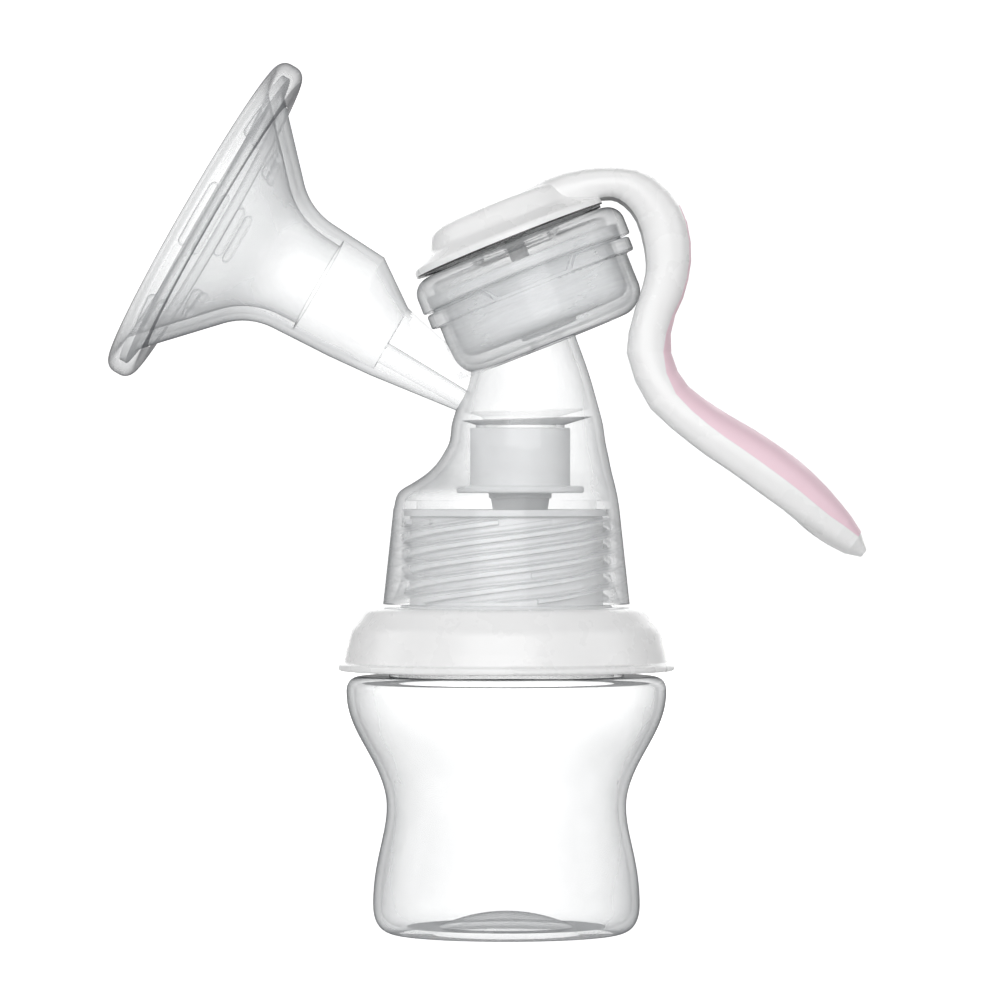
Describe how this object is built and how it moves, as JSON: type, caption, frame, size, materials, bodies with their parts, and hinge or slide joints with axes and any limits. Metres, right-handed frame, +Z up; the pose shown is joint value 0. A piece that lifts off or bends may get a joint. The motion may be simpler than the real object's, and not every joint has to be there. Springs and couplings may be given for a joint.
{
  "type": "manual breast pump",
  "caption": "Hand-squeezed breast pump: soft-lined funnel, clear body with diaphragm chamber, swinging lever, screwed on a waisted bottle.",
  "frame": {"origin": "centre of the bottle's base, on the plane it stands on", "axes": "+Z up along the bottle's axis; the funnel opens towards -X and the squeeze lever hangs on the +X side, so XZ is the mirror plane and +Y is the side away from the viewer"},
  "size_m": [0.1591, 0.0744, 0.1828],
  "materials": {
    "bottle_clear": "clear moulded polypropylene, glossy",
    "body_clear": "clear moulded polypropylene, glossy",
    "adapter_frosted": "translucent moulded polypropylene",
    "silicone_clear": "translucent silicone, satin",
    "silicone_grey": "translucent grey silicone, satin",
    "white_plastic": "white moulded polypropylene, semi-gloss",
    "stem_white": "white moulded plastic, satin",
    "grip_pink": "pale pink soft-touch elastomer"
  },
  "bodies": {
    "bottle": {"bottle": "bottle_clear"},
    "adapter": {"bottle_adapter": "adapter_frosted", "bottle_seal": "silicone_clear"},
    "ring": {"screw_ring": "white_plastic"},
    "neck_seal": {"adapter_seal": "silicone_clear"},
    "pump": {"pump_body": "body_clear", "duckbill_valve": "silicone_grey", "breast_cushion": "silicone_clear", "diaphragm": "silicone_clear", "diaphragm_cap": "body_clear"},
    "stem": {"diaphragm_stem": "stem_white"},
    "lever": {"lever": "white_plastic", "lever_grip": "grip_pink"}
  },
  "joints": [
    {"name": "ring_rise", "type": "slide", "parent": "bottle", "child": "adapter", "axis": [0, 0, 1], "range_m": [0, 0.005]},
    {"name": "ring_turn", "type": "hinge", "parent": "adapter", "child": "ring", "pos_m": [0, 0, 0.062], "axis": [0, 0, 1], "range_deg": [0, 452]},
    {"name": "pump_rise", "type": "slide", "parent": "adapter", "child": "neck_seal", "axis": [0, 0, 1], "range_m": [0, 0.0175]},
    {"name": "pump_turn", "type": "hinge", "parent": "neck_seal", "child": "pump", "pos_m": [0, 0, 0.08], "axis": [0, 0, 1], "range_deg": [0, 362]},
    {"name": "stem_lift", "type": "slide", "parent": "pump", "child": "stem", "axis": [-0.3706, 0, 0.9288], "range_m": [0, 0.0073], "deforming": ["diaphragm"]},
    {"name": "lever_squeeze", "type": "hinge", "parent": "pump", "child": "lever", "pos_m": [0.02874, 0, 0.12858], "axis": [0, 1, 0], "range_deg": [0, 18], "stiffness_Nm_per_rad": 1.5, "springref_deg": -2.86}
  ],
  "couplings": [
    {"joint": "ring_turn", "follows": "ring_rise", "rad_per_m": 1570.8},
    {"joint": "pump_turn", "follows": "pump_rise", "rad_per_m": 359.04},
    {"joint": "stem_lift", "follows": "lever_squeeze", "m_per_rad": 0.0232}
  ]
}
